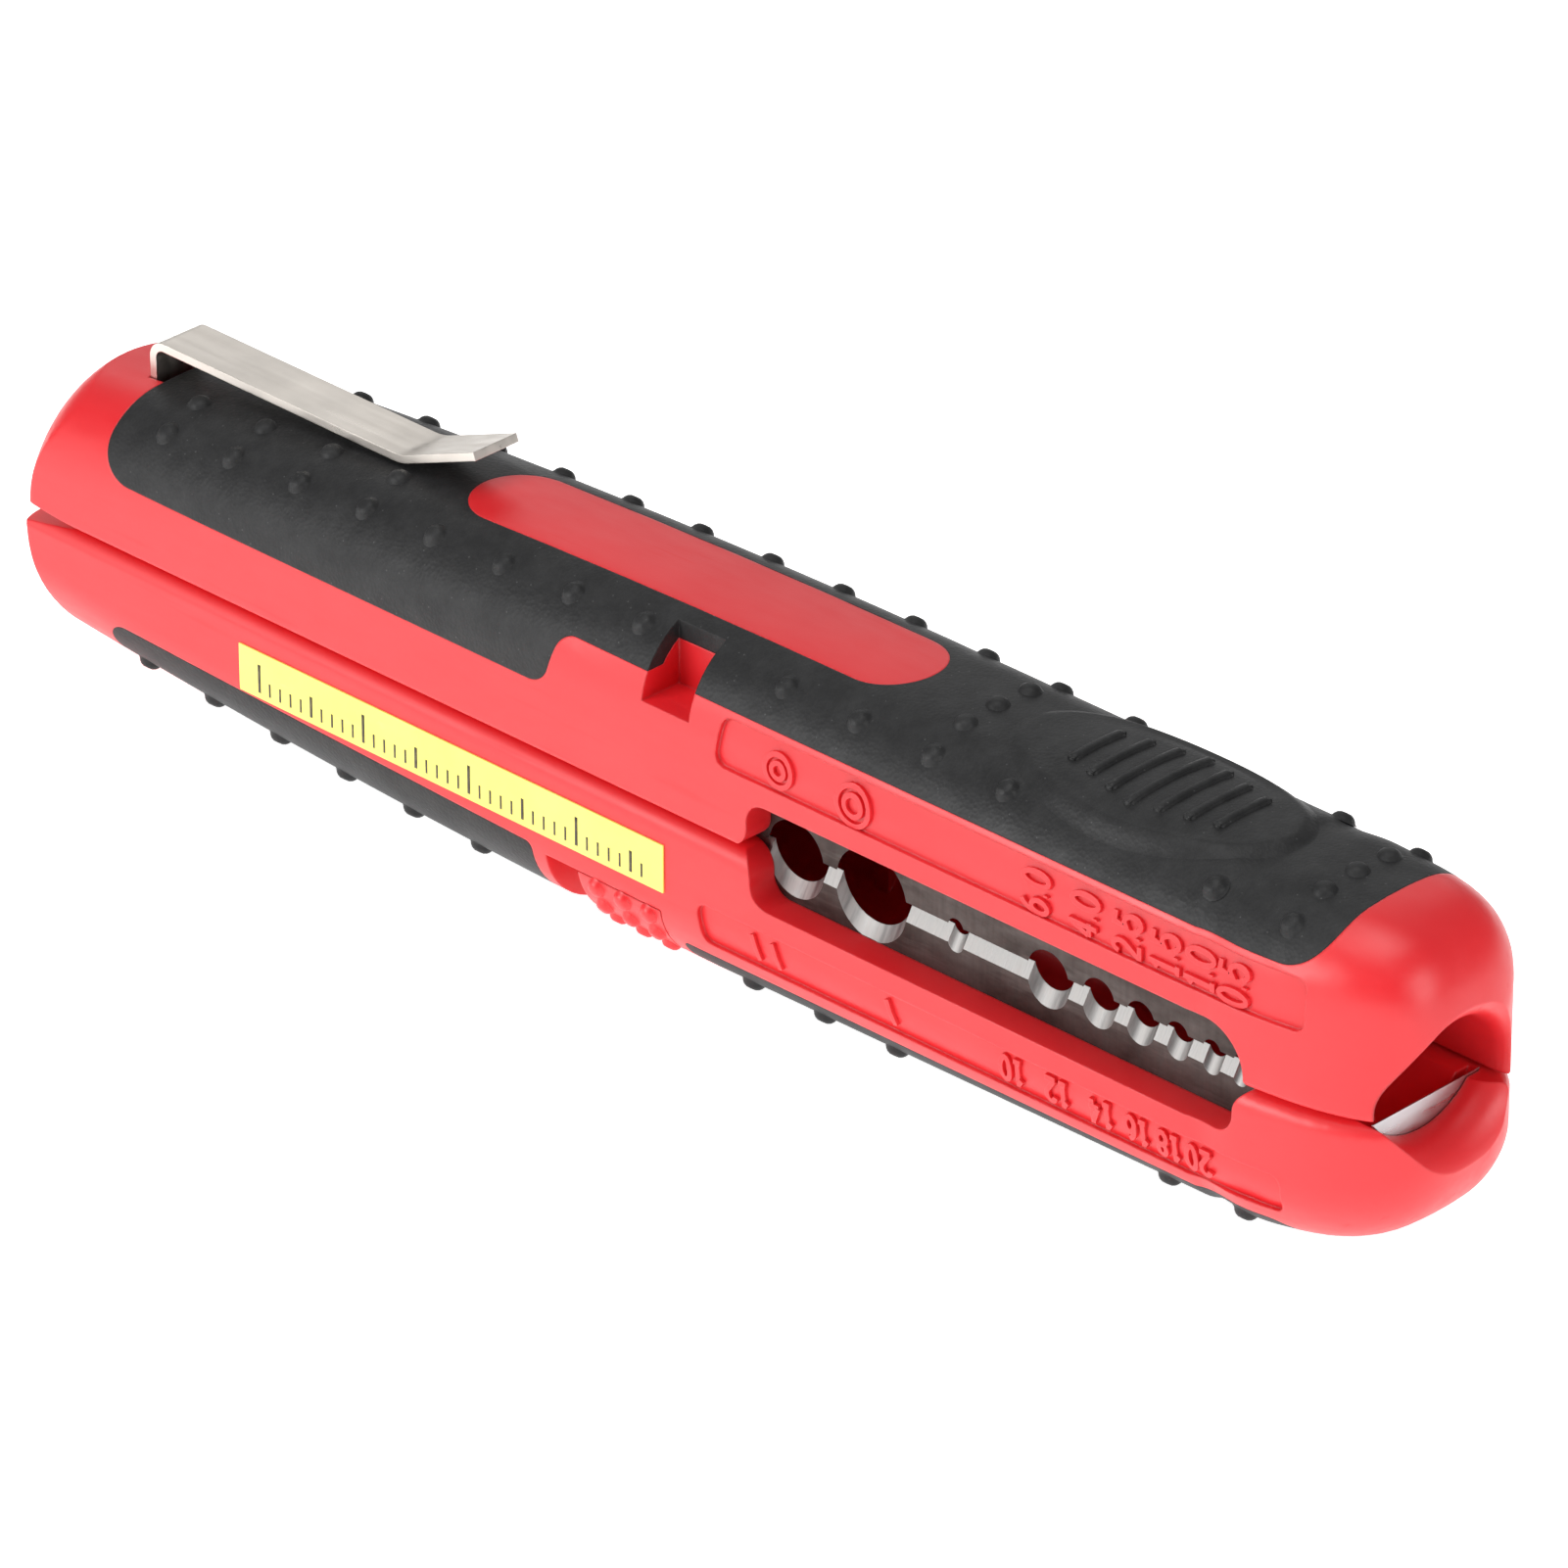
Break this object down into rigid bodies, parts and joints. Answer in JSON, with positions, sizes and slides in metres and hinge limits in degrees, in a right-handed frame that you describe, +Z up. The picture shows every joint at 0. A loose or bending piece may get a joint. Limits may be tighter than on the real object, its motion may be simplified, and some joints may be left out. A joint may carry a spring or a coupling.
{
  "type": "cable stripper",
  "caption": "Hand-held cable stripper with hinged half shells, notched wire blades, a ring blade in the nose, a slide lock and a belt clip.",
  "frame": {"origin": "under the middle of the tool, at its lowest point", "axes": "+X towards the jaws and the cable port, +Y away from the side with the wire window, +Z up towards the belt clip"},
  "size_m": [0.1237, 0.0172, 0.028],
  "materials": {
    "red_shell": "satin moulded",
    "black_grip": "matte soft-touch",
    "blade_steel": "ground",
    "clip_steel": "nickel plated",
    "hardware_steel": "zinc plated",
    "spring_steel": "plain",
    "label_yellow": "printed film"
  },
  "bodies": {
    "lower_half": {"lower_shell": "red_shell", "lower_grip_rear": "black_grip", "lower_grip_front": "black_grip", "lower_wire_blade": "blade_steel", "lower_washer_rear": "hardware_steel", "lower_washer_front": "hardware_steel", "ring_blade": "blade_steel", "ring_blade_screw": "hardware_steel", "hinge_pin": "hardware_steel", "opening_spring": "spring_steel", "label_strip": "label_yellow"},
    "upper_half": {"upper_shell": "red_shell", "upper_grip": "black_grip", "upper_wire_blade": "blade_steel", "upper_washer_rear": "hardware_steel", "upper_washer_front": "hardware_steel", "belt_clip": "clip_steel", "clip_screw": "hardware_steel"},
    "lock": {"lock_button": "red_shell", "lock_hook": "red_shell", "lock_screw": "hardware_steel"}
  },
  "joints": [
    {"name": "jaw_hinge", "type": "hinge", "parent": "lower_half", "child": "upper_half", "pos_m": [-0.0554, 0, 0.01277], "axis": [0, -1, 0], "range_deg": [0, 12]},
    {"name": "lock_slide", "type": "slide", "parent": "lower_half", "child": "lock", "axis": [-1, 0, 0], "range_m": [0, 0.003]}
  ]
}
